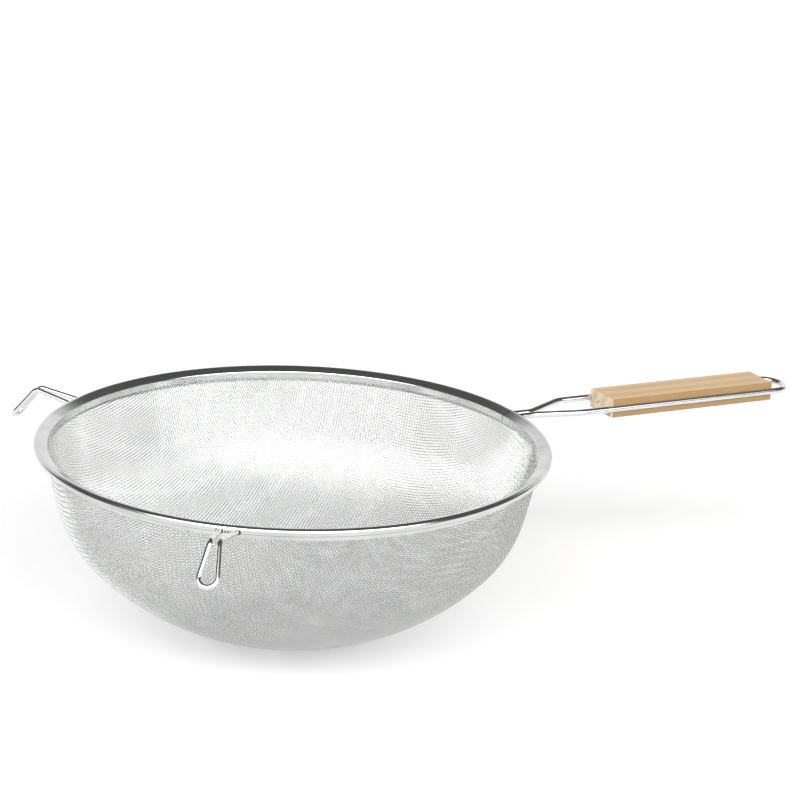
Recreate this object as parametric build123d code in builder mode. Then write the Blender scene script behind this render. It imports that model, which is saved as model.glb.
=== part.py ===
from build123d import *
import os
from math import asin, atan2, cos, radians, sin, tan

# Double mesh strainer with a wooden grip, in millimetres.
# The origin is the centre of the bowl's flat base, +Z is up and the handle runs out along +X.

# Bowl, measured on the outside of the outer mesh. The curve is a chain of tangent arcs
# from the flat base up to a straight collar, each with its radius and the angle it turns through.
base_radius = 27.3
base_edge_radius = 60.0
base_edge_turn = 10.0
floor_radius = 152.0
floor_turn = 36.8
shoulder_radius = 67.0
shoulder_turn = 28.6
side_radius = 390.0
side_turn = 4.6
collar_length = 5.9
outer_mesh_thickness = 0.75
inner_mesh_thickness = 0.45
layer_gap = 0.05

# Rim: one steel strip, rolled round a hoop of wire and clamped on both meshes
rim_outer_radius = 152.5
strip_thickness = 0.45
bead_radius = 2.325
bead_lift = 1.2
bead_bend_allowance = 0.02
inner_crease_level = -0.1
outer_crease_level = -1.4
crease_bend_radius = 0.8
inner_flange_level = -4.0
outer_flange_level = -6.4
hoop_clearance = 0.025
weld_gap = 0.02
seam_angle = 2.0
seam_width = 0.4

# Handle: a wire bent into a long loop that holds the grip in two grooves
handle_wire_diameter = 4.0
handle_pitch = 0.4
handle_rise = 2.4
neck_drop = 1.75
neck_spacing = 5.6
leg_end_spacing = 6.4
neck_length = 9.5
flare_end = 35.0
loop_reach = 195.8
flare_bend_radius = 16.0
neck_bend_radius = 12.0
leg_bead_overlap = 1.5
loop_bend_allowance = 0.05

# Grip
grip_start = 59.2
grip_length = 120.9
grip_width = 26.4
grip_height = 12.0
grip_edge_radius = 0.9
groove_clearance = 0.05

# Pot hooks: two double wires that reach out level and then slope down
hook_wire_diameter = 3.0
hook_angle = 127.8
hook_end_spacing = 9.8
hook_bend_spacing = 5.0
hook_arm_length = 26.6
hook_arm_rise = 3.4
hook_start_drop = 1.1
hook_drop_out = 16.5
hook_drop_down = 19.4
hook_loop_width = 11.4
hook_bend_radius = 3.5
hook_end_allowance = 0.7
hook_bead_overlap = 1.2

os.makedirs("parts", exist_ok=True)

collar_angle = 90 - base_edge_turn - floor_turn - shoulder_turn - side_turn


def bowl_curve(inset, collar_end):
    """Draws the bowl's half section from the axis up, set in by inset, and returns its two ends."""
    base = Line((0, inset), (base_radius, inset))
    base_edge = JernArc(base @ 1, (1, 0), base_edge_radius - inset, base_edge_turn)
    floor = JernArc(base_edge @ 1, base_edge % 1, floor_radius - inset, floor_turn)
    shoulder = JernArc(floor @ 1, floor % 1, shoulder_radius - inset, shoulder_turn)
    side = JernArc(shoulder @ 1, shoulder % 1, side_radius - inset, side_turn)
    collar = Line(side @ 1, side @ 1 + (side % 1) * collar_end)
    return base @ 0, collar @ 1


def make_shell(outside_inset, thickness):
    """One mesh layer as a thin closed shell."""
    with BuildPart() as shell:
        with BuildSketch(Plane.XZ):
            with BuildLine():
                bottom_out, top_out = bowl_curve(outside_inset, collar_length)
                bottom_in, top_in = bowl_curve(outside_inset + thickness, collar_length)
                Line(top_out, top_in)
                Line(bottom_out, bottom_in)
            make_face()
        revolve(axis=Axis.Z)
    return shell


outer_mesh = make_shell(0, outer_mesh_thickness)
inner_mesh = make_shell(outer_mesh_thickness + layer_gap, inner_mesh_thickness)

# Where the outer mesh ends under the bead, and the direction of its collar
with BuildLine(mode=Mode.PRIVATE) as collar_reference:
    mesh_top = bowl_curve(0, collar_length)[1]
up_collar = Vector(sin(radians(collar_angle)), cos(radians(collar_angle)))
out_of_collar = Vector(up_collar.Y, -up_collar.X)
bead_level = mesh_top.Y + bead_lift
stack = outer_mesh_thickness + layer_gap + inner_mesh_thickness
half_strip = strip_thickness / 2
outside = half_strip + layer_gap
inside = -stack - half_strip - layer_gap
bead_centre = Vector(rim_outer_radius - bead_radius, bead_level)
bead_middle_radius = bead_radius - half_strip


def on_collar(rise, offset):
    """A point on the collar's slope, by its rise above the bead's centre and its offset outwards."""
    start = mesh_top + out_of_collar * offset
    level = bead_level + rise
    return Vector(start.X + (level - start.Y) * tan(radians(collar_angle)), level)


def bead_corner(crease, turn):
    """Where a web that runs from a crease past the bead's side meets the bead's outermost line."""
    across = bead_centre - crease
    slope = atan2(across.Y, across.X) + turn * asin(bead_middle_radius / across.length)
    reach = bead_centre.X + bead_middle_radius - crease.X
    return crease + Vector(reach, reach * tan(slope))


outer_crease = on_collar(outer_crease_level, outside)
inner_crease = on_collar(inner_crease_level, inside)
bead_bend = bead_middle_radius - bead_bend_allowance

with BuildPart() as rim_band:
    with BuildSketch(Plane.XZ):
        with BuildLine():
            FilletPolyline(
                on_collar(outer_flange_level, outside),
                outer_crease,
                bead_corner(outer_crease, -1),
                bead_corner(inner_crease, 1),
                inner_crease,
                on_collar(inner_flange_level, inside),
                radius=[crease_bend_radius, bead_bend, bead_bend, crease_bend_radius],
            )
            offset(amount=half_strip, side=Side.BOTH)
        make_face()
    revolve(axis=Axis.Z)
    with BuildSketch(Plane.XY.offset(bead_level + outer_flange_level - bead_radius)):
        with Locations(Location((0, 0), seam_angle)):
            Rectangle(rim_outer_radius + bead_radius, seam_width, align=(Align.MIN, Align.CENTER))
    extrude(amount=4 * bead_radius - outer_flange_level, mode=Mode.SUBTRACT)

with BuildPart() as rim_hoop_wire:
    with BuildSketch(Plane.XZ):
        with Locations(bead_centre):
            Circle(bead_radius - strip_thickness - hoop_clearance)
    revolve(axis=Axis.Z)


def make_wire(points, bend_radii, diameter):
    """A round wire along straight runs joined by tangent bends, its ends cut to fit the bead."""
    with BuildPart() as wire:
        with BuildLine() as path:
            FilletPolyline(*points, radius=bend_radii)
        with BuildSketch(Plane(origin=path.line @ 0, z_dir=path.line % 0)):
            Circle(diameter / 2)
        sweep(path=path.line)
        with BuildSketch(Plane.XZ):
            with Locations(bead_centre):
                Circle(bead_radius + weld_gap)
        revolve(axis=Axis.Z, mode=Mode.SUBTRACT)
    return wire


handle_plane = Plane(
    origin=(rim_outer_radius, 0, bead_level + handle_rise),
    x_dir=(cos(radians(handle_pitch)), 0, -sin(radians(handle_pitch))),
    z_dir=(sin(radians(handle_pitch)), 0, cos(radians(handle_pitch))),
)
leg_side = grip_width / 2
leg_points = [
    (-leg_bead_overlap, leg_end_spacing / 2, -neck_drop),
    (neck_length, neck_spacing / 2, -neck_drop),
    (flare_end, leg_side, 0),
    (loop_reach, leg_side, 0),
]
far_leg_points = [(out, -side, rise) for out, side, rise in reversed(leg_points)]
handle_points = [handle_plane.from_local_coords(Vector(*p)) for p in leg_points + far_leg_points]

loop_bend_radius = leg_side - loop_bend_allowance
leg_bends = [neck_bend_radius, flare_bend_radius, loop_bend_radius]
handle_wire = make_wire(handle_points, leg_bends + leg_bends[::-1], handle_wire_diameter)

grip_end_plane = Plane(
    origin=handle_plane.from_local_coords(Vector(grip_start, 0, 0)),
    x_dir=(0, 1, 0),
    z_dir=handle_plane.x_dir,
)
with BuildPart() as grip:
    with BuildSketch(grip_end_plane):
        Rectangle(grip_width, grip_height)
        with Locations((-leg_side, 0), (leg_side, 0)):
            Circle(handle_wire_diameter / 2 + groove_clearance, mode=Mode.SUBTRACT)
    extrude(amount=grip_length)
    long_edges = [edge for edge in edges().filter_by(GeomType.LINE) if edge.length > 0.9 * grip_length]
    # The grooves' lips run the same way, but they are nearer the middle than the four corners.
    long_corners = []
    for edge in long_edges:
        height = grip_end_plane.to_local_coords(edge.center()).Y
        if abs(height) > grip_height / 4:
            long_corners.append(edge)
    fillet(long_corners, grip_edge_radius)


def make_hook(angle):
    """One double-wire hook, welded to the rim at an angle from the handle."""
    hook_plane = Plane(
        origin=(rim_outer_radius * cos(radians(angle)), rim_outer_radius * sin(radians(angle)), bead_level),
        x_dir=(cos(radians(angle)), sin(radians(angle)), 0),
        z_dir=(0, 0, 1),
    )
    half_points = [
        (-hook_bead_overlap, hook_end_spacing / 2, -hook_start_drop),
        (hook_arm_length, hook_bend_spacing / 2, hook_arm_rise),
        (hook_arm_length + hook_drop_out, hook_loop_width / 2, hook_arm_rise - hook_drop_down),
    ]
    other_points = [(out, -side, rise) for out, side, rise in reversed(half_points)]
    points = [hook_plane.from_local_coords(Vector(*p)) for p in half_points + other_points]
    half_bends = [hook_bend_radius, hook_loop_width / 2 - hook_end_allowance]
    return make_wire(points, half_bends + half_bends[::-1], hook_wire_diameter)


left_hook = make_hook(hook_angle)
front_hook = make_hook(-hook_angle)

pieces = {
    "outer_mesh": outer_mesh,
    "inner_mesh": inner_mesh,
    "rim_band": rim_band,
    "rim_hoop_wire": rim_hoop_wire,
    "handle_wire": handle_wire,
    "grip": grip,
    "left_hook": left_hook,
    "front_hook": front_hook,
}
for name, piece in pieces.items():
    piece.part.label = name
    export_step(piece.part, f"parts/{name}.step")
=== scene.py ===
import math
import bpy
import numpy as np
from mathutils import Matrix, Vector


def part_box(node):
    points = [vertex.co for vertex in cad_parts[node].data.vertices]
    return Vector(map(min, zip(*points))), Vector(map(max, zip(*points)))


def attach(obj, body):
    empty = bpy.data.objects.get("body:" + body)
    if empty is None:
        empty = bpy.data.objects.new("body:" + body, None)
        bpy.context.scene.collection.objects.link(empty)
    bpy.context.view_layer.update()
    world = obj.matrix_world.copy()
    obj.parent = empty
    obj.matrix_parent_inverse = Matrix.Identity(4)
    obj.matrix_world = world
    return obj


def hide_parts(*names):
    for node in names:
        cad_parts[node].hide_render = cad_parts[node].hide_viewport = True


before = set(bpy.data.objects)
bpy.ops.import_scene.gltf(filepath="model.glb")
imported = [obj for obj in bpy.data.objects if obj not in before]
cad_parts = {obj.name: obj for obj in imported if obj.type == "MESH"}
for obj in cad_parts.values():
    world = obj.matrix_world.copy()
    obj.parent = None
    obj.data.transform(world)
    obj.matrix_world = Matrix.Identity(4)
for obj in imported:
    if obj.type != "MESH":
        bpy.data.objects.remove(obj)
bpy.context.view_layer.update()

mm = 0.001

# where things are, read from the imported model
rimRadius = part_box("rim_band")[1][0]
hoopLow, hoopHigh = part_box("rim_hoop_wire")
beadLevel = (hoopLow[2] + hoopHigh[2]) / 2
print("frame loaded")


view = {
    # degrees round the bowl from straight in front, above the floor, and of lean
    "turn": -27.56,
    "rise": 17.51,
    "roll": 2.44,
    # metres: how far away, and what it looks at, to the right of the bowl's middle and above the rim
    "away": 1.4404,
    "aimAcross": 0.0614,
    "aimUp": 0.0293,
    "lens": 110.4,
    "farthest": 50.0,
}


def placeCamera(v):
    turn, rise, roll = (math.radians(v[k]) for k in ("turn", "rise", "roll"))
    back = Vector((math.sin(turn) * math.cos(rise), -math.cos(turn) * math.cos(rise), math.sin(rise)))
    across = Vector((math.cos(turn), math.sin(turn), 0))
    aim = Vector((0, 0, beadLevel + v["aimUp"])) + across * v["aimAcross"]
    data = bpy.data.cameras.new("camera")
    data.lens = v["lens"]
    data.clip_end = v["farthest"]
    camera = bpy.data.objects.new("camera", data)
    bpy.context.collection.objects.link(camera)
    camera.location = aim + back * v["away"]
    facing = back.to_track_quat("Z", "Y").to_matrix().to_4x4()
    camera.rotation_euler = (facing @ Matrix.Rotation(roll, 4, "Z")).to_euler()
    bpy.context.scene.camera = camera


placeCamera(view)
print("camera placed")


class Number:
    # a shader value that takes part in sums; each operator adds one Math node
    def __init__(self, bench, socket):
        self.bench, self.socket = bench, socket

    def work(self, operation, first, second=None):
        values = {0: first} if second is None else {0: first, 1: second}
        return self.bench.add("ShaderNodeMath", {"operation": operation}, values).value(0)

    def __add__(self, other): return self.work("ADD", self, other)
    def __radd__(self, other): return self.work("ADD", other, self)
    def __sub__(self, other): return self.work("SUBTRACT", self, other)
    def __rsub__(self, other): return self.work("SUBTRACT", other, self)
    def __mul__(self, other): return self.work("MULTIPLY", self, other)
    def __rmul__(self, other): return self.work("MULTIPLY", other, self)
    def __truediv__(self, other): return self.work("DIVIDE", self, other)
    def __rtruediv__(self, other): return self.work("DIVIDE", other, self)
    def __pow__(self, other): return self.work("POWER", self, other)
    def __gt__(self, other): return self.work("GREATER_THAN", self, other)
    def __lt__(self, other): return self.work("LESS_THAN", self, other)
    def size(self): return self.work("ABSOLUTE", self)
    def wave(self): return self.work("SINE", self)
    def angle(self, other): return self.work("ARCTAN2", self, other)
    def largest(self, other): return self.work("MAXIMUM", self, other)

    def clamped(self):
        return self.bench.add("ShaderNodeClamp", None, {0: self}).value(0)

    def stepped(self, low, high):
        # 0 below low, 1 above high, smooth between
        node = self.bench.add(
            "ShaderNodeMapRange",
            {"interpolation_type": "SMOOTHSTEP"},
            {"Value": self, "From Min": low, "From Max": high},
        )
        return node.value("Result")


class Placed:
    # one node, and its sockets by name or number
    def __init__(self, bench, node):
        self.bench, self.node = bench, node

    def value(self, name):
        return Number(self.bench, self.node.outputs[name])


class Bench:
    # an emptied node tree, and the nodes that are added to it
    def __init__(self, tree):
        self.tree = tree
        self.tree.nodes.clear()

    def plug(self, socket, given):
        if isinstance(given, Number):
            self.tree.links.new(given.socket, socket)
        else:
            socket.default_value = given

    def add(self, kind, settings=None, values=None):
        node = self.tree.nodes.new(kind)
        for name, setting in (settings or {}).items():
            if name == "stops":
                ramp = node.color_ramp
                while len(ramp.elements) < len(setting):
                    ramp.elements.new(0.5)
                for element, (place, colour) in zip(ramp.elements, setting):
                    element.position = place
                    element.color = (*colour, 1)
            else:
                setattr(node, name, setting)
        for name, given in (values or {}).items():
            self.plug(node.inputs[name.replace("_", " ") if isinstance(name, str) else name], given)
        return Placed(self, node)

    def place(self):
        # the piece's own coordinates, which are the part's metres
        return self.add("ShaderNodeTexCoord").value("Object")

    def split(self, vector):
        parts = self.add("ShaderNodeSeparateXYZ", None, {0: vector})
        return parts.value(0), parts.value(1), parts.value(2)

    def join(self, x, y, z):
        return self.add("ShaderNodeCombineXYZ", None, {0: x, 1: y, 2: z}).value(0)

    def scaled(self, vector, factors):
        return self.add("ShaderNodeVectorMath", {"operation": "MULTIPLY"}, {0: vector, 1: factors}).value(0)

    def noise(self, vector, scale, detail=3.0, roughness=0.5):
        values = {"Vector": vector, "Scale": scale, "Detail": detail, "Roughness": roughness}
        return self.add("ShaderNodeTexNoise", None, values).value(0)

    def mixed(self, factor, first, second):
        node = self.add("ShaderNodeMix", {"data_type": "RGBA"}, {"Factor": factor})
        self.plug(node.node.inputs[6], first)
        self.plug(node.node.inputs[7], second)
        return node.value(2)

    def ramp(self, factor, stops):
        return self.add("ShaderNodeValToRGB", {"stops": stops}, {"Fac": factor}).value(0)

    def bump(self, height, strength, distance):
        values = {"Height": height, "Strength": strength, "Distance": distance}
        return self.add("ShaderNodeBump", None, values).value(0)


class Finish(Bench):
    # a new material with its Principled shader; fixed gives the sockets that don't vary
    def __init__(self, name, **fixed):
        self.material = bpy.data.materials.new(name)
        self.material.use_nodes = True
        super().__init__(self.material.node_tree)
        self.shader = self.add("ShaderNodeBsdfPrincipled", None, fixed)
        self.add("ShaderNodeOutputMaterial", None, {"Surface": self.shader.value("BSDF")})

    def feed(self, name, given):
        self.plug(self.shader.node.inputs[name], given)


outerSteel = {"colour": (0.66, 0.665, 0.66, 1), "roughness": 0.14}
innerSteel = {"colour": (0.80, 0.805, 0.80, 1), "roughness": 0.12}


def makeMeshSteel(name, s):
    return Finish(name, Base_Color=s["colour"], Metallic=1.0, Roughness=s["roughness"]).material


rimSteel = {
    "pale": (0.70, 0.705, 0.70, 1),
    "deep": (0.58, 0.585, 0.58, 1),
    "smooth": 0.12,
    "rough": 0.24,
    # drawing lines: how fine they are across the strip, and how slowly they change along it
    "linesAcross": 2600.0,
    "linesAlong": 9.0,
    "lineBump": 0.06,
    "lineDepth": 0.2 * mm,
    # soft stains, and the fine grime that only dulls
    "cloudScale": 38.0,
    "cloudShare": 0.65,
    "grimeScale": 210.0,
    "grimeRough": 0.06,
    "worn": (0.38, 0.68),
    # painted shade: a dark line where the strip turns in under the bead, for the shadow in the crease: from
    # and to, beside the bead's middle
    "creaseShadeColour": (0.10, 0.10, 0.10, 1),
    "creaseShadeShare": 0.8,
    "creaseLow": -2.6 * mm,
    "creaseHigh": -1.5 * mm,
    "creaseFade": 0.3 * mm,
    "creaseIn": -3.4 * mm,
}


def makeRimSteel(s):
    # rolled strip: fine drawing lines that follow the hoop, soft stains, and painted shade in the crease
    # under the bead
    finish = Finish("rim_steel", Metallic=1.0)
    place = finish.place()
    x, y, z = finish.split(place)
    out = (x * x + y * y) ** 0.5
    lines = finish.join(out * s["linesAcross"], z * s["linesAcross"], x * s["linesAlong"])
    drawn = finish.noise(lines, 1.0, detail=2.0)
    cloud = finish.noise(place, s["cloudScale"], detail=4.0)
    grime = finish.noise(place, s["grimeScale"])
    wear = (cloud * s["cloudShare"] + drawn * (1 - s["cloudShare"])).stepped(*s["worn"])
    colour = finish.mixed(wear, s["pale"], s["deep"])
    # painted shade: the strip is darkened in the crease under the outside of the bead, where the shadow
    # falls
    height = z - beadLevel
    under = height.stepped(s["creaseLow"], s["creaseLow"] + s["creaseFade"])
    under = under * (1.0 - height.stepped(s["creaseHigh"] - s["creaseFade"], s["creaseHigh"]))
    under = under * (out > rimRadius + s["creaseIn"])
    finish.feed("Base Color", finish.mixed(under * s["creaseShadeShare"], colour, s["creaseShadeColour"]))
    dull = s["smooth"] + wear * (s["rough"] - s["smooth"]) + (grime - 0.5) * s["grimeRough"]
    finish.feed("Roughness", dull)
    finish.feed("Normal", finish.bump(drawn, s["lineBump"], s["lineDepth"]))
    return finish.material


wireSteel = {
    "pale": (0.80, 0.80, 0.80, 1),
    "deep": (0.68, 0.685, 0.68, 1),
    "smooth": 0.07,
    "rough": 0.17,
    "cloudScale": 60.0,
    "cloudShare": 0.6,
    "rubScale": (40.0, 900.0, 900.0),
    "rubBump": 0.04,
    "rubDepth": 0.1 * mm,
    "worn": (0.40, 0.70),
}


def makeWireSteel(s):
    # bright drawn wire with faint rub marks
    finish = Finish("wire_steel", Metallic=1.0)
    place = finish.place()
    cloud = finish.noise(place, s["cloudScale"], detail=4.0)
    rubs = finish.noise(finish.scaled(place, s["rubScale"]), 1.0, detail=2.0)
    wear = (cloud * s["cloudShare"] + rubs * (1 - s["cloudShare"])).stepped(*s["worn"])
    finish.feed("Base Color", finish.mixed(wear, s["pale"], s["deep"]))
    finish.feed("Roughness", s["smooth"] + wear * (s["rough"] - s["smooth"]))
    finish.feed("Normal", finish.bump(rubs, s["rubBump"], s["rubDepth"]))
    return finish.material


beech = {
    "pale": (0.66, 0.48, 0.295),
    "mid": (0.61, 0.425, 0.24),
    "deep": (0.52, 0.345, 0.185),
    "pore": (0.30, 0.18, 0.09, 1),
    "poreShare": 0.45,
    "roughness": 0.55,
    "uneven": 0.2,
    # growth rings: how close they lie, how they lean up the grip's side, and how far they wander
    "ringScale": 620.0,
    "ringLean": 0.35,
    "ringWander": 4.0 * mm,
    # noise along and across the grip: wandering, streaks, broad bands and pores
    "wanderScale": (5.0, 40.0, 40.0),
    "streakScale": (14.0, 900.0, 900.0),
    "broadScale": (6.0, 120.0, 120.0),
    "poreScale": (160.0, 2600.0, 2600.0),
    "grainBump": 0.25,
    "grainDepth": 0.4 * mm,
    # painted shade: the long edges are darker than the top and bottom, as light from above leaves them in
    # shade
    "flankShade": (0.268, 0.165, 0.068, 1),
    "flankShadeShare": 0.9,
    "flankDepth": 0.6 * mm,
    # sawn ends: paler, with coarse marks
    "endPale": (0.69, 0.56, 0.41),
    "endDeep": (0.55, 0.41, 0.27),
    "endDepth": 0.6 * mm,
    "sawScale": (1.0, 700.0, 260.0),
    # the knot mark on the inner end: its middle and slant across the end, half length and half width
    "tick": (0.20, 0.13, 0.07, 1),
    "tickAcross": 3.6 * mm,
    "tickUp": 0.2 * mm,
    "tickSlant": 39.0,
    "tickLong": 1.9 * mm,
    "tickThin": 0.35 * mm,
}


def makeBeech(s, low, high):
    # long grain on the sides, rings on the ends, short dark pores, one dark tick on the inner end, painted
    # shade on the long edges
    finish = Finish("beech", Specular_IOR_Level=0.35)
    place = finish.place()
    x, y, z = finish.split(place)
    wander = finish.noise(finish.scaled(place, s["wanderScale"]), 1.0, detail=2.0) - 0.5
    rings = (y + z * s["ringLean"] + wander * s["ringWander"]) * s["ringScale"]
    band = rings.wave() * 0.5 + 0.5
    streak = finish.noise(finish.scaled(place, s["streakScale"]), 1.0, detail=4.0)
    broad = finish.noise(finish.scaled(place, s["broadScale"]), 1.0, detail=2.0)
    tone = (band * 0.25 + streak * 0.45 + broad * 0.45).clamped()
    colour = finish.ramp(tone, [(0.32, s["deep"]), (0.52, s["mid"]), (0.75, s["pale"])])
    pores = finish.noise(finish.scaled(place, s["poreScale"]), 1.0, detail=1.0).stepped(0.68, 0.78)
    colour = finish.mixed(pores * s["poreShare"], colour, s["pore"])
    # painted shade: a darker colour on the long edges, for the shade on the grip's sides
    halfWidth = (high[1] - low[1]) / 2
    flankShade = (y - (low[1] + high[1]) / 2).size() > halfWidth - s["flankDepth"]
    colour = finish.mixed(flankShade * s["flankShadeShare"], colour, s["flankShade"])
    innerEnd = x < low[0] + s["endDepth"]
    outerEnd = x > high[0] - s["endDepth"]
    saw = finish.noise(finish.scaled(place, s["sawScale"]), 1.0, detail=4.0)
    endTone = (band * 0.35 + saw * 0.8).clamped()
    endColour = finish.ramp(endTone, [(0.35, s["endDeep"]), (0.70, s["endPale"])])
    colour = finish.mixed(innerEnd + outerEnd, colour, endColour)
    slant = math.radians(s["tickSlant"])
    across, up = y - s["tickAcross"], z - (low[2] + high[2]) / 2 - s["tickUp"]
    longWay = (across * math.cos(slant) + up * -math.sin(slant)).size()
    thinWay = (across * math.sin(slant) + up * math.cos(slant)).size()
    tick = innerEnd * (longWay < s["tickLong"]) * (thinWay < s["tickThin"])
    finish.feed("Base Color", finish.mixed(tick, colour, s["tick"]))
    finish.feed("Roughness", s["roughness"] + (streak - 0.5) * s["uneven"])
    finish.feed("Normal", finish.bump(streak * 0.6 + pores * -0.8, s["grainBump"], s["grainDepth"]))
    return finish.material


burntSteelAndShade = {
    "weld": (0.12, 0.12, 0.11, 1),
    "soot": (0.015, 0.015, 0.014, 1),
    "sootScale": 900.0,
    "sooty": (0.42, 0.62),
    "roughness": 0.28,
    "sootRough": 0.3,
}


def makeBurntSteelAndShade(name, colour, s):
    # dull steel, darkened by heat; on the hoop wire the same dark is painted shade for the seam gap
    finish = Finish(name, Metallic=1.0)
    soot = finish.noise(finish.place(), s["sootScale"])
    finish.feed("Base Color", finish.mixed(soot.stepped(*s["sooty"]), colour, s["soot"]))
    finish.feed("Roughness", s["roughness"] + soot * s["sootRough"])
    return finish.material


steelForOuter = makeMeshSteel("outer_cloth_steel", outerSteel)
steelForInner = makeMeshSteel("inner_cloth_steel", innerSteel)
steelForRim = makeRimSteel(rimSteel)
steelForWire = makeWireSteel(wireSteel)
woodForGrip = makeBeech(beech, *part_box("grip"))
steelForWelds = makeBurntSteelAndShade("weld_steel", burntSteelAndShade["weld"], burntSteelAndShade)
steelForPits = makeBurntSteelAndShade("weld_pits", burntSteelAndShade["soot"], burntSteelAndShade)
# painted shade: the hoop wire gets the dark weld colour, for the shadow in the seam gap
hoopSeamShade = makeBurntSteelAndShade("hoop_seam_shade", burntSteelAndShade["weld"], burntSteelAndShade)
print("materials made")


sharpAngle = 50.0  # degrees: capped pieces are smooth below it


def addMesh(name, points, quads, material, node=None, caps=()):
    # points is n x 3 and quads m x 4 indices; caps close the ends; node is the CAD piece it stands for
    mesh = bpy.data.meshes.new(name)
    points = np.asarray(points, dtype=np.float32).reshape(-1, 3)
    quads = np.asarray(quads, dtype=np.int32).reshape(-1, 4)
    loops = np.concatenate([quads.ravel()] + [np.array(face, dtype=np.int32) for face in caps])
    sizes = np.concatenate([np.full(len(quads), 4), [len(face) for face in caps]]).astype(np.int32)
    starts = np.concatenate([[0], np.cumsum(sizes)[:-1]]).astype(np.int32)
    mesh.vertices.add(len(points))
    mesh.vertices.foreach_set("co", points.ravel())
    mesh.loops.add(len(loops))
    mesh.loops.foreach_set("vertex_index", loops)
    mesh.polygons.add(len(sizes))
    mesh.polygons.foreach_set("loop_start", starts)
    mesh.polygons.foreach_set("use_smooth", np.full(len(sizes), True))
    mesh.update(calc_edges=True)
    mesh.validate()
    if caps:
        mesh.set_sharp_from_angle(angle=math.radians(sharpAngle))
    mesh.materials.append(material)
    piece = bpy.data.objects.new(name, mesh)
    bpy.context.collection.objects.link(piece)
    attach(piece, "root")
    if node:
        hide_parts(node)
    return piece


def roundedPath(corners, radii, turnStep):
    # straight runs joined by tangent arcs, as points no more than turnStep radians apart
    corners = [np.array(c, dtype=float) for c in corners]
    path = [corners[0]]
    for before, corner, after, radius in zip(corners, corners[1:], corners[2:], radii):
        inward = (before - corner) / np.linalg.norm(before - corner)
        onward = (after - corner) / np.linalg.norm(after - corner)
        bend = math.pi - math.acos(max(-1, min(1, float(inward @ onward))))
        reach = radius * math.tan(bend / 2)
        start = corner + inward * reach
        middle = inward + onward
        centre = corner + middle / np.linalg.norm(middle) * radius / math.cos(bend / 2)
        first = (start - centre) / radius
        second = -inward
        count = max(2, int(math.ceil(bend / turnStep)))
        for k in range(count + 1):
            angle = bend * k / count
            path.append(centre + radius * (first * math.cos(angle) + second * math.sin(angle)))
    path.append(corners[-1])
    return np.array(path)


def evenly(path, step):
    # the same path with more points on its long runs
    out = [path[0]]
    for a, b in zip(path, path[1:]):
        count = max(1, int(math.ceil(np.linalg.norm(b - a) / step)))
        for k in range(1, count + 1):
            out.append(a + (b - a) * k / count)
    return np.array(out)


def joinRings(rings, sides, first=0):
    # faces between neighbouring rings of points, and a cap on the first and the last ring
    k = np.arange(sides)
    nextK = (k + 1) % sides
    here = first + np.arange(rings - 1)[:, None] * sides
    quads = np.stack([here + k, here + nextK, here + sides + nextK, here + sides + k], -1).reshape(-1, 4)
    last = first + (rings - 1) * sides
    caps = [list(range(first, first + sides))[::-1], list(range(last, last + sides))]
    return quads, caps


def tube(path, radius, sides):
    # rings along a path without twist, with both ends capped
    path = np.asarray(path, dtype=float)
    along = np.gradient(path, axis=0)
    along /= np.linalg.norm(along, axis=1)[:, None]
    side = np.cross(along[0], (0, 0, 1.0))
    side /= np.linalg.norm(side)
    turns = (np.arange(sides) * 2 * math.pi / sides)[:, None]
    points = []
    for here, way in zip(path, along):
        side = side - way * (side @ way)
        side /= np.linalg.norm(side)
        other = np.cross(way, side)
        points.append(here + radius * (np.cos(turns) * side + np.sin(turns) * other))
    quads, caps = joinRings(len(path), sides)
    return np.concatenate(points), quads, caps


bowl = {
    "flat": 27.3 * mm,
    # radius and turn in degrees of each arc, from the flat base up to the collar
    "arcs": ((60.0 * mm, 10.0), (152.0 * mm, 36.8), (67.0 * mm, 28.6), (390.0 * mm, 4.6)),
    "collar": 5.9 * mm,
    "beyond": 30.0 * mm,  # the curve goes on straight past the collar, for threads that end just outside it
    "profileStep": 0.25 * mm,
    "endGap": 0.3 * mm,  # from the last crossing to the collar's edge
    "shares": 2,  # pieces that the threads of each direction are shared out over
    # each cloth: how far its middle is inside the bowl's outer face, thread spacing, degrees from
    # the handle, wire diameter, and how far a thread moves in and out
    "outer": {
        "inset": 0.375 * mm, "pitch": 1.81 * mm, "turn": 33.5, "wire": 0.32 * mm, "crimp": 0.165 * mm,
    },
    "inner": {
        "inset": 1.025 * mm, "pitch": 1.92 * mm, "turn": 35.0, "wire": 0.20 * mm, "crimp": 0.102 * mm,
    },
}
tiny = 1e-12


def bowlProfile(inset):
    # distance along the curve, and at each: radius, height and slope
    radius, height, slope, gone = bowl["flat"], inset, 0.0, bowl["flat"]
    rows = [(0.0, 0.0, inset, 0.0), (gone, radius, height, slope)]
    for arcRadius, turn in bowl["arcs"]:
        size, swing = arcRadius - inset, math.radians(turn)
        count = max(4, int(size * swing / bowl["profileStep"]))
        for k in range(1, count + 1):
            here = slope + swing * k / count
            rows.append((
                gone + size * swing * k / count,
                radius + size * (math.sin(here) - math.sin(slope)),
                height - size * (math.cos(here) - math.cos(slope)),
                here,
            ))
        gone, radius, height, slope = rows[-1]
    extra = bowl["collar"] + bowl["beyond"]
    rows.append((gone + extra, radius + extra * math.cos(slope), height + extra * math.sin(slope), slope))
    return np.array(rows), gone + bowl["collar"]


def onBowl(rows, flatX, flatY):
    # flatX and flatY are the cloth's place as distance and direction from the middle
    along = np.hypot(flatX, flatY)
    radius = np.interp(along, rows[:, 0], rows[:, 1])
    height = np.interp(along, rows[:, 0], rows[:, 2])
    safe = np.maximum(along, 1e-9)
    return np.stack([radius * flatX / safe, radius * flatY / safe, height], -1)


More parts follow.
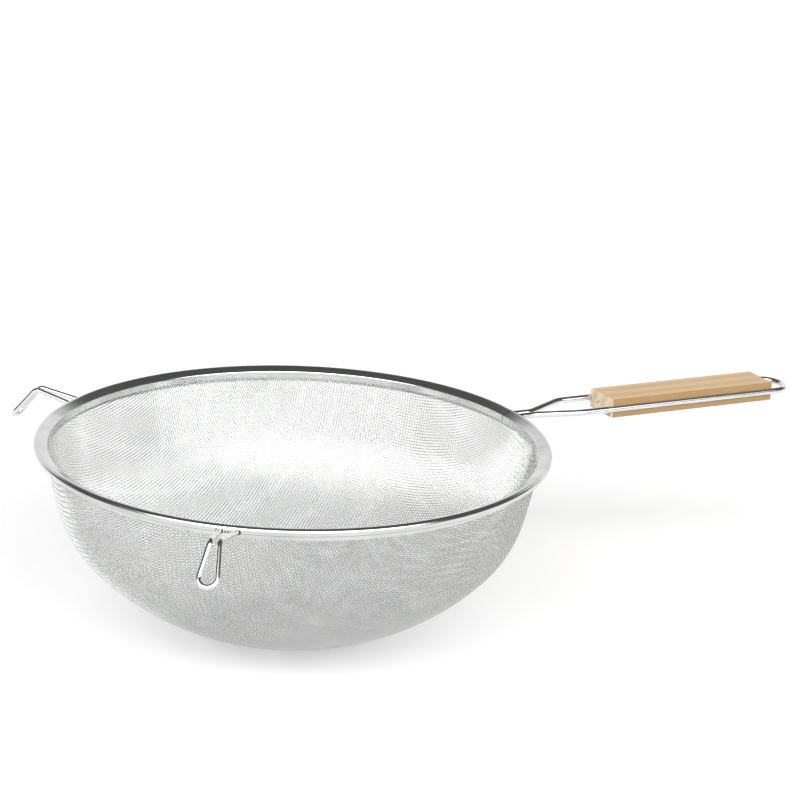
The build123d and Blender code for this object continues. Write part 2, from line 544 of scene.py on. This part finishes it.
def drapeQuarter(rows, pitch, count):
    # a cloth of threads that cross at fixed spacing, laid on the bowl from its middle outwards:
    # each crossing is one pitch from the two before it, found by Newton's method
    flat = np.full((count, count, 2), np.nan)
    steps = np.arange(count) * pitch
    flat[:, 0] = np.stack([steps, 0 * steps], -1)
    flat[0, :] = np.stack([0 * steps, steps], -1)
    nudge = 1e-6
    for total in range(2, 2 * count - 1):
        i = np.arange(max(1, total - count + 1), min(count - 1, total - 1) + 1)
        j = total - i
        a, b, c = flat[i - 1, j], flat[i, j - 1], flat[i - 1, j - 1]
        spotA, spotB = onBowl(rows, a[:, 0], a[:, 1]), onBowl(rows, b[:, 0], b[:, 1])
        guess = a + b - c
        for attempt in range(6):
            spot = onBowl(rows, guess[:, 0], guess[:, 1])
            stepX = (onBowl(rows, guess[:, 0] + nudge, guess[:, 1]) - spot) / nudge
            stepY = (onBowl(rows, guess[:, 0], guess[:, 1] + nudge) - spot) / nudge
            toA, toB = spot - spotA, spot - spotB
            missA = (toA ** 2).sum(-1) - pitch ** 2
            missB = (toB ** 2).sum(-1) - pitch ** 2
            m11, m12 = 2 * (toA * stepX).sum(-1), 2 * (toA * stepY).sum(-1)
            m21, m22 = 2 * (toB * stepX).sum(-1), 2 * (toB * stepY).sum(-1)
            det = m11 * m22 - m12 * m21
            det = np.where(np.abs(det) < tiny, tiny, det)
            move = np.stack([(m22 * missA - m12 * missB) / det, (m11 * missB - m21 * missA) / det], -1)
            move = np.clip(move, -pitch, pitch)
            guess = guess - move
        flat[i, j] = guess
    return flat


def drape(rows, pitch, limit, turned):
    # the whole cloth: four mirrored quarters, then turned
    count = int(limit / pitch) + 3
    quarter = drapeQuarter(rows, pitch, count)
    size = 2 * count - 1
    cloth = np.zeros((size, size, 2))
    middle = count - 1
    for signX in (1, -1):
        for signY in (1, -1):
            i = middle + signX * np.arange(count)
            j = middle + signY * np.arange(count)
            cloth[np.ix_(i, j)] = quarter * np.array([signX, signY])
    turn = math.radians(turned)
    x, y = cloth[..., 0], cloth[..., 1]
    return np.stack([x * math.cos(turn) - y * math.sin(turn), x * math.sin(turn) + y * math.cos(turn)], -1)


def weave(name, layer, node, material):
    # both directions of thread, each a four-sided wire with one ring of points at every crossing
    rows, limit = bowlProfile(layer["inset"])
    cloth = drape(rows, layer["pitch"], limit, layer["turn"])
    along = np.hypot(cloth[..., 0], cloth[..., 1])
    present = (along < limit - bowl["endGap"]) & np.isfinite(along)
    spots = onBowl(rows, cloth[..., 0], cloth[..., 1])
    slope = np.interp(along, rows[:, 0], rows[:, 3])
    safe = np.maximum(along, 1e-9)
    outward = np.stack([
        np.sin(slope) * cloth[..., 0] / safe,
        np.sin(slope) * cloth[..., 1] / safe,
        -np.cos(slope),
    ], -1)
    size = spots.shape[0]
    odd = ((np.arange(size)[:, None] + np.arange(size)[None, :]) % 2) * 2.0 - 1.0
    shares = bowl["shares"]
    for way, label in ((0, "warp"), (1, "weft")):
        # the two directions pass over and under each other at every crossing
        lift = -odd if way else odd
        line = spots + outward * (lift * layer["crimp"])[..., None]
        if way:
            line, normal, kept = line.transpose(1, 0, 2), outward.transpose(1, 0, 2), present.T
        else:
            normal, kept = outward, present
        # the threads run along the first index
        ahead = np.gradient(line, axis=0)
        ahead /= np.linalg.norm(ahead, axis=2)[..., None] + tiny
        side = np.cross(ahead, normal)
        side /= np.linalg.norm(side, axis=2)[..., None] + tiny
        up = np.cross(side, ahead)
        half = layer["wire"] / 2
        rings = np.stack([line + side * half, line + up * half, line - side * half, line - up * half], 2)
        for share in range(shares):
            low = share * size // shares
            high = (share + 1) * size // shares
            columns = np.arange(low, high)
            here = kept[:, columns]
            number = np.full(here.shape, -1)
            number[here] = np.arange(here.sum())
            points = rings[:, columns][here].reshape(-1, 3)
            both = here[:-1] & here[1:]
            first, second = number[:-1][both] * 4, number[1:][both] * 4
            quads = []
            for k in range(4):
                nextK = (k + 1) % 4
                quads.append(np.stack([first + k, second + k, second + nextK, first + nextK], -1))
            quads = np.concatenate(quads)
            stands = node if (way, share) == (0, 0) else None  # the first piece stands for the CAD mesh
            piece = addMesh(f"{name}_{label}_{share + 1}", points, quads, material, stands)
            print("   ", piece.name, len(quads) * 2, "triangles")


print("weaving the outer cloth")
weave("outer_cloth", bowl["outer"], "outer_mesh", steelForOuter)
print("weaving the inner cloth")
weave("inner_cloth", bowl["inner"], "inner_mesh", steelForInner)


rim = {
    "bead": 2.325 * mm,  # radius, over the strip
    "strip": 0.45 * mm,
    "gap": 0.05 * mm,  # between the strip and the cloth
    "stack": 1.25 * mm,  # both cloths together
    "lift": 1.2 * mm,  # from the collar's edge to the bead's middle
    # heights beside the bead's middle
    "innerCrease": -0.1 * mm,
    "outerCrease": -1.4 * mm,
    "innerLip": -4.0 * mm,
    "outerLip": -6.4 * mm,
    "creaseBend": 0.8 * mm,
    "beadSpare": 0.02 * mm,
    "seam": 2.0,  # degrees from the handle
    "seamWidth": 0.7 * mm,
    "segments": 360,
    "turnStep": 0.2,
    "step": 0.6 * mm,
}


def makeRim(s):
    # the strip's section, from the outer lip round the bead to the inner lip, swept round from seam to seam
    rows, limit = bowlProfile(0.0)
    topRadius = float(np.interp(limit, rows[:, 0], rows[:, 1]))
    topHeight = float(np.interp(limit, rows[:, 0], rows[:, 2]))
    slope = rows[-1, 3]
    level = topHeight + s["lift"]
    centre = np.array([rimRadius - s["bead"], level])
    half = s["strip"] / 2
    outside = half + s["gap"]
    inside = -s["stack"] - half - s["gap"]
    middle = s["bead"] - half

    def onCollar(rise, offset):
        start = np.array([topRadius + math.sin(slope) * offset, topHeight - math.cos(slope) * offset])
        height = level + rise
        return np.array([start[0] + (height - start[1]) / math.tan(slope), height])

    def beadCorner(crease, turn):
        gone = centre - crease
        angle = math.atan2(gone[1], gone[0]) + turn * math.asin(middle / np.linalg.norm(gone))
        reach = centre[0] + middle - crease[0]
        return crease + np.array([reach, reach * math.tan(angle)])

    outerCrease = onCollar(s["outerCrease"], outside)
    innerCrease = onCollar(s["innerCrease"], inside)
    corners = [
        onCollar(s["outerLip"], outside), outerCrease, beadCorner(outerCrease, -1),
        beadCorner(innerCrease, 1), innerCrease, onCollar(s["innerLip"], inside),
    ]
    bend = middle - s["beadSpare"]
    bends = [s["creaseBend"], bend, bend, s["creaseBend"]]
    path = evenly(roundedPath(corners, bends, s["turnStep"]), s["step"])
    ahead = np.gradient(path, axis=0)
    ahead /= np.linalg.norm(ahead, axis=1)[:, None]
    across = np.stack([ahead[:, 1], -ahead[:, 0]], -1)
    section = np.concatenate([path + across * half, (path - across * half)[::-1]])
    start = math.radians(s["seam"]) + s["seamWidth"] / 2 / rimRadius
    sweep = 2 * math.pi - s["seamWidth"] / rimRadius
    turns = start + sweep * np.arange(s["segments"] + 1) / s["segments"]
    points = np.stack([
        section[None, :, 0] * np.cos(turns)[:, None],
        section[None, :, 0] * np.sin(turns)[:, None],
        np.repeat(section[None, :, 1], len(turns), 0),
    ], -1).reshape(-1, 3)
    quads, caps = joinRings(len(turns), len(section))
    addMesh("rim_strip", points, quads, steelForRim, "rim_band", caps)


makeRim(rim)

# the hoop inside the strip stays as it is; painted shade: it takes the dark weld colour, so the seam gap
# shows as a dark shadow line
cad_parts["rim_hoop_wire"].data.materials.clear()
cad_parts["rim_hoop_wire"].data.materials.append(hoopSeamShade)
print("rim made")


handle = {
    "wire": 4.0 * mm,
    "pitch": 0.4,  # degrees that it runs downhill
    "rise": 2.4 * mm,  # from the bead's middle to the loop's level at the rim
    "drop": 1.75 * mm,  # from the loop's level down to the ends
    "neckSpacing": 5.6 * mm,
    "endSpacing": 6.4 * mm,
    "neckLength": 9.5 * mm,
    "flareEnd": 35.0 * mm,
    "reach": 195.8 * mm,
    "flareBend": 16.0 * mm,
    "neckBend": 12.0 * mm,
    "loopSpare": 0.05 * mm,
    "overlap": 2.1 * mm,  # how far the ends go in past the rim's outside
    "sides": 24,
    "turnStep": 0.08,
    "step": 3.0 * mm,
}
grip = {
    "start": 59.2 * mm,
    "length": 120.9 * mm,
    "width": 26.4 * mm,
    "height": 12.0 * mm,
    "edge": 0.9 * mm,
    "groove": 2.05 * mm,
    "lip": 0.25 * mm,
    "endEase": 0.5 * mm,
    "edgeSteps": 6,
    "grooveSteps": 8,
    "stations": 12,
}


def onHandle(out, side, up):
    # a place beside the handle's line: out from the rim, sideways, and above the wire's middle
    pitch = math.radians(handle["pitch"])
    origin = Vector((rimRadius, 0, beadLevel + handle["rise"]))
    along = Vector((math.cos(pitch), 0, -math.sin(pitch)))
    above = Vector((math.sin(pitch), 0, math.cos(pitch)))
    return origin + along * out + Vector((0, side, 0)) + above * up


def makeHandle(s, g):
    half = g["width"] / 2
    leg = [
        (-s["overlap"], s["endSpacing"] / 2, -s["drop"]),
        (s["neckLength"], s["neckSpacing"] / 2, -s["drop"]),
        (s["flareEnd"], half, 0),
        (s["reach"], half, 0),
    ]
    other = [(out, -side, up) for out, side, up in reversed(leg)]
    corners = [onHandle(*p) for p in leg + other]
    bends = [s["neckBend"], s["flareBend"], half - s["loopSpare"]]
    path = evenly(roundedPath(corners, bends + bends[::-1], s["turnStep"]), s["step"])
    points, quads, caps = tube(path, s["wire"] / 2, s["sides"])
    addMesh("handle_loop_wire", points, quads, steelForWire, "handle_wire", caps)


makeHandle(handle, grip)


def makeGrip(g):
    half, tall, edge, groove = g["width"] / 2, g["height"] / 2, g["edge"], g["groove"]
    eased = []  # from the flank round the eased corner to the flat
    for k in range(g["edgeSteps"] + 1):
        angle = k / g["edgeSteps"] * math.pi / 2
        eased.append((half - edge + edge * math.cos(angle), tall - edge + edge * math.sin(angle)))
    right = eased[::-1] + [(half, groove + g["lip"])]
    for k in range(g["grooveSteps"] + 1):
        angle = math.pi / 2 + k / g["grooveSteps"] * math.pi
        right.append((half + groove * math.cos(angle), groove * math.sin(angle)))
    right += [(half, -groove - g["lip"])] + [(x, -y) for x, y in eased]
    spread = (0.6, 0.2, -0.2, -0.6)  # points across the two flats
    bottom = [(half * share, -tall) for share in spread]
    section = right + bottom + [(-x, -y) for x, y in right + bottom]

    # rings along the grip: both ends are rounded over the length of the ease
    rounding = [(0.0, 1.0), (0.08, 0.62), (0.3, 0.30), (0.62, 0.08), (1.0, 0.0)]
    rings = [(g["endEase"] * place, g["endEase"] * inset) for place, inset in rounding]
    body = [(g["length"] * k / g["stations"], 0.0) for k in range(1, g["stations"])]
    rings = rings + body + [(g["length"] - place, inset) for place, inset in reversed(rings)]
    points = []
    for out, inset in rings:
        for across, up in section:
            points.append(onHandle(g["start"] + out, across * (1 - inset / half), up * (1 - inset / tall)))
    quads, caps = joinRings(len(rings), len(section))
    addMesh("wood_grip", points, quads, woodForGrip, "grip", caps)


makeGrip(grip)
print("handle and grip made")


hook = {
    "wire": 3.0 * mm,
    "angle": 127.8,  # degrees from the handle, to either side
    "endSpacing": 9.8 * mm,
    "bendSpacing": 5.0 * mm,
    "armLength": 26.6 * mm,
    "armRise": 3.4 * mm,
    "startDrop": 1.1 * mm,
    "dropOut": 16.5 * mm,
    "dropDown": 19.4 * mm,
    "loopWidth": 11.4 * mm,
    "bend": 3.5 * mm,
    "loopSpare": 0.7 * mm,
    "overlap": 1.6 * mm,
    "sides": 20,
    "turnStep": 0.1,
    "step": 1.5 * mm,
}


def makeHook(s, name, node, turn):
    # two arms out from the rim, which turn down and meet in a loop
    angle = math.radians(turn)
    out = Vector((math.cos(angle), math.sin(angle), 0))
    side = Vector((-math.sin(angle), math.cos(angle), 0))
    origin = out * rimRadius + Vector((0, 0, beadLevel))
    leg = [
        (-s["overlap"], s["endSpacing"] / 2, -s["startDrop"]),
        (s["armLength"], s["bendSpacing"] / 2, s["armRise"]),
        (s["armLength"] + s["dropOut"], s["loopWidth"] / 2, s["armRise"] - s["dropDown"]),
    ]
    other = [(o, -w, up) for o, w, up in reversed(leg)]
    corners = [origin + out * o + side * w + Vector((0, 0, up)) for o, w, up in leg + other]
    bends = [s["bend"], s["loopWidth"] / 2 - s["loopSpare"]]
    path = evenly(roundedPath(corners, bends + bends[::-1], s["turnStep"]), s["step"])
    points, quads, caps = tube(path, s["wire"] / 2, s["sides"])
    addMesh(name, points, quads, steelForWire, node, caps)


makeHook(hook, "left_pot_hook", "left_hook", hook["angle"])
makeHook(hook, "front_pot_hook", "front_hook", -hook["angle"])
print("hooks made")


weld = {
    "rings": 9,
    "sides": 18,
    "wobble": 0.10,
    # half sizes of a weld: outward, along the rim, upward
    "hookSize": (0.95 * mm, 2.2 * mm, 2.0 * mm),
    "handleSize": (0.9 * mm, 2.5 * mm, 1.9 * mm),
    "sunk": 0.1 * mm,
    "pitSize": (0.30 * mm, 0.55 * mm, 0.50 * mm),
    # pits between the ends of a hook: share of the way across, and degrees round the bead
    "pits": ((-0.36, -38.0), (-0.02, -30.0), (0.30, -34.0), (0.62, -24.0)),
}


def blobs(s, spots):
    # lumps, each with a centre and three half axes, flattened and uneven
    points, quads, caps = [], [], []
    for number, (centre, axes) in enumerate(spots):
        for ring in range(s["rings"]):
            down = math.pi * (ring + 0.5) / s["rings"]
            for side in range(s["sides"]):
                turn = 2 * math.pi * side / s["sides"]
                bulge = 1 + s["wobble"] * math.sin(3 * turn + 2 * number) * math.sin(2 * down + number)
                way = (math.cos(down), math.sin(down) * math.cos(turn), math.sin(down) * math.sin(turn))
                points.append(centre + sum((axis * (w * bulge) for axis, w in zip(axes, way)), Vector()))
        lumpQuads, lumpCaps = joinRings(s["rings"], s["sides"], number * s["rings"] * s["sides"])
        quads.append(lumpQuads[:, ::-1])
        caps += [cap[::-1] for cap in lumpCaps]
    return points, np.concatenate(quads), caps


def onBead(angle, side, rise, proud):
    # a place on the outside of the bead: side is along the rim, rise in degrees round the bead
    turn = math.radians(angle) + side / rimRadius
    out = Vector((math.cos(turn), math.sin(turn), 0))
    along = Vector((-math.sin(turn), math.cos(turn), 0))
    lift = math.radians(rise)
    normal = out * math.cos(lift) + Vector((0, 0, math.sin(lift)))
    up = Vector((0, 0, math.cos(lift))) - out * math.sin(lift)
    centre = out * (rimRadius - rim["bead"]) + Vector((0, 0, beadLevel)) + normal * (rim["bead"] + proud)
    return centre, (normal, along, up)


def weldSpot(s, size, angle, side, drop):
    # a weld where a wire's end meets the bead, drop below the bead's middle
    rise = -math.degrees(math.asin(drop / rim["bead"]))
    centre, axes = onBead(angle, side, rise, -s["sunk"])
    return centre, [axis * length for axis, length in zip(axes, size)]


def addLumps(s, name, spots, material):
    points, quads, caps = blobs(s, spots)
    addMesh(name, points, quads, material, caps=caps)


def makeWelds(s):
    for name, angle in (("left_hook", hook["angle"]), ("front_hook", -hook["angle"])):
        half = hook["endSpacing"] / 2
        spots = [weldSpot(s, s["hookSize"], angle, side, hook["startDrop"]) for side in (half, -half)]
        addLumps(s, name + "_weld", spots, steelForWelds)
        spots = []
        for share, rise in s["pits"]:
            centre, axes = onBead(angle, share * half, rise, 0)
            spots.append((centre, [axis * length for axis, length in zip(axes, s["pitSize"])]))
        addLumps(s, name + "_weld_pits", spots, steelForPits)
    half, drop = handle["endSpacing"] / 2, handle["drop"] - handle["rise"]
    spots = [weldSpot(s, s["handleSize"], 0, side, drop) for side in (half, -half)]
    addLumps(s, "handle_weld", spots, steelForWelds)


makeWelds(weld)
print("welds made")


studio = {
    "floor": (0.84, 0.84, 0.84, 1),
    "floorSize": 16.0,
    "floorGlow": 0.22,  # lifts the shadow, as a lit table does
    "look": (0.463, 0.886),  # the way the camera faces, across the floor
    # brightness all round, of the long light, and of the dark roof and cards
    "horizon": 0.97,
    "key": 4.9,
    "dark": 0.10,
    # every edge is soft, so each has a from and a to. The long light above the camera: its lower and
    # upper edges in radians, and how far it reaches sideways
    "keyLow": (0.26, 0.36),
    "keyHigh": (0.94, 1.10),
    "keyWide": (0.72, 0.88),
    "roofLow": (0.45, 0.56),
    # dark cards at both sides: how far from straight ahead, and how high
    "sideWide": (0.55, 0.72),
    "sideLow": (0.00, 0.08),
}


def makeStage(s):
    bpy.ops.mesh.primitive_plane_add(size=s["floorSize"], location=(0, 0, 0))
    floor = bpy.context.object
    floor.name = "floor"
    paper = Finish("floor_paper", Base_Color=s["floor"], Roughness=0.9, Specular_IOR_Level=0.1)
    paper.feed("Emission Color", s["floor"])
    paper.feed("Emission Strength", s["floorGlow"])
    floor.data.materials.append(paper.material)

    world = bpy.data.worlds.new("studio")
    bpy.context.scene.world = world
    world.use_nodes = True
    light = Bench(world.node_tree)
    x, y, z = light.split(light.add("ShaderNodeTexCoord").value("Generated"))
    lookX, lookY = s["look"]
    flat = ((x * x + y * y) ** 0.5).largest(0.001)
    ahead = (x * lookX + y * lookY) / flat
    roof = z.stepped(*s["roofLow"])
    cards = z.stepped(*s["sideLow"]) * (1.0 - ahead.size().stepped(*s["sideWide"]))
    level = s["horizon"] + roof.largest(cards) * (s["dark"] - s["horizon"])
    behind = x * -lookX + y * -lookY
    sideways = (x * lookY - y * lookX).size()
    raised = z.angle(behind)
    keyed = raised.stepped(*s["keyLow"]) * (1.0 - raised.stepped(*s["keyHigh"]))
    keyed = keyed * (1.0 - sideways.stepped(*s["keyWide"]))
    level = level + keyed * (s["key"] - level)
    background = light.add("ShaderNodeBackground", None, {"Color": level, "Strength": 1.0})
    light.add("ShaderNodeOutputWorld", None, {"Surface": background.value(0)})


makeStage(studio)
print("stage set")
bpy.context.scene.view_settings.view_transform = "Standard"
